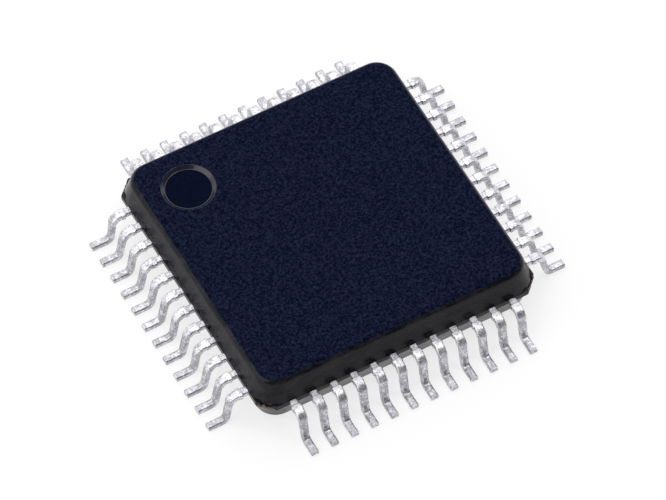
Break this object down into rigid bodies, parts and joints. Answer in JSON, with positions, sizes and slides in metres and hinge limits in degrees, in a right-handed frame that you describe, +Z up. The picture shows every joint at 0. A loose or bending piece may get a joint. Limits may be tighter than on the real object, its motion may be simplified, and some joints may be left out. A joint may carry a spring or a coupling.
{
  "type": "quad flat pack chip",
  "caption": "Low square moulded chip package with gull-wing leads on all four sides and a round mark at the pin one corner, for surface mounting.",
  "frame": {"origin": "package centre, on the plane of the lead feet, which is the board surface", "axes": "+Z up through the top face; the pin one mark is in the (-X, +Y) corner; leads 1 to 12 are on the -X side from +Y to -Y, 13 to 24 on the -Y side towards +X, 25 to 36 on the +X side towards +Y, 37 to 48 on the +Y side towards -X"},
  "size_m": [0.009, 0.009, 0.0015],
  "materials": {
    "mould_compound": "fine spark-eroded matt epoxy, black with a blue cast, glossy inside the round mark",
    "tinned_lead": "matt tin plating on copper alloy, mottled and lightly scuffed",
    "copper_frame": "bare copper alloy, cut edges tarnished brown",
    "adhesive": "silver-filled epoxy, dull",
    "silicon": "polished silicon, opaque",
    "gold_wire": "drawn gold, bright"
  },
  "bodies": {
    "root": {"mould_body": "mould_compound", "die_paddle": "copper_frame", "die_attach": "adhesive", "die": "silicon", "bond_wires": "gold_wire", "lead_01": "tinned_lead", "lead_02": "tinned_lead", "lead_03": "tinned_lead", "lead_04": "tinned_lead", "lead_05": "tinned_lead", "lead_06": "tinned_lead", "lead_07": "tinned_lead", "lead_08": "tinned_lead", "lead_09": "tinned_lead", "lead_10": "tinned_lead", "lead_11": "tinned_lead", "lead_12": "tinned_lead", "lead_13": "tinned_lead", "lead_14": "tinned_lead", "lead_15": "tinned_lead", "lead_16": "tinned_lead", "lead_17": "tinned_lead", "lead_18": "tinned_lead", "lead_19": "tinned_lead", "lead_20": "tinned_lead", "lead_21": "tinned_lead", "lead_22": "tinned_lead", "lead_23": "tinned_lead", "lead_24": "tinned_lead", "lead_25": "tinned_lead", "lead_26": "tinned_lead", "lead_27": "tinned_lead", "lead_28": "tinned_lead", "lead_29": "tinned_lead", "lead_30": "tinned_lead", "lead_31": "tinned_lead", "lead_32": "tinned_lead", "lead_33": "tinned_lead", "lead_34": "tinned_lead", "lead_35": "tinned_lead", "lead_36": "tinned_lead", "lead_37": "tinned_lead", "lead_38": "tinned_lead", "lead_39": "tinned_lead", "lead_40": "tinned_lead", "lead_41": "tinned_lead", "lead_42": "tinned_lead", "lead_43": "tinned_lead", "lead_44": "tinned_lead", "lead_45": "tinned_lead", "lead_46": "tinned_lead", "lead_47": "tinned_lead", "lead_48": "tinned_lead"}
  },
  "joints": []
}
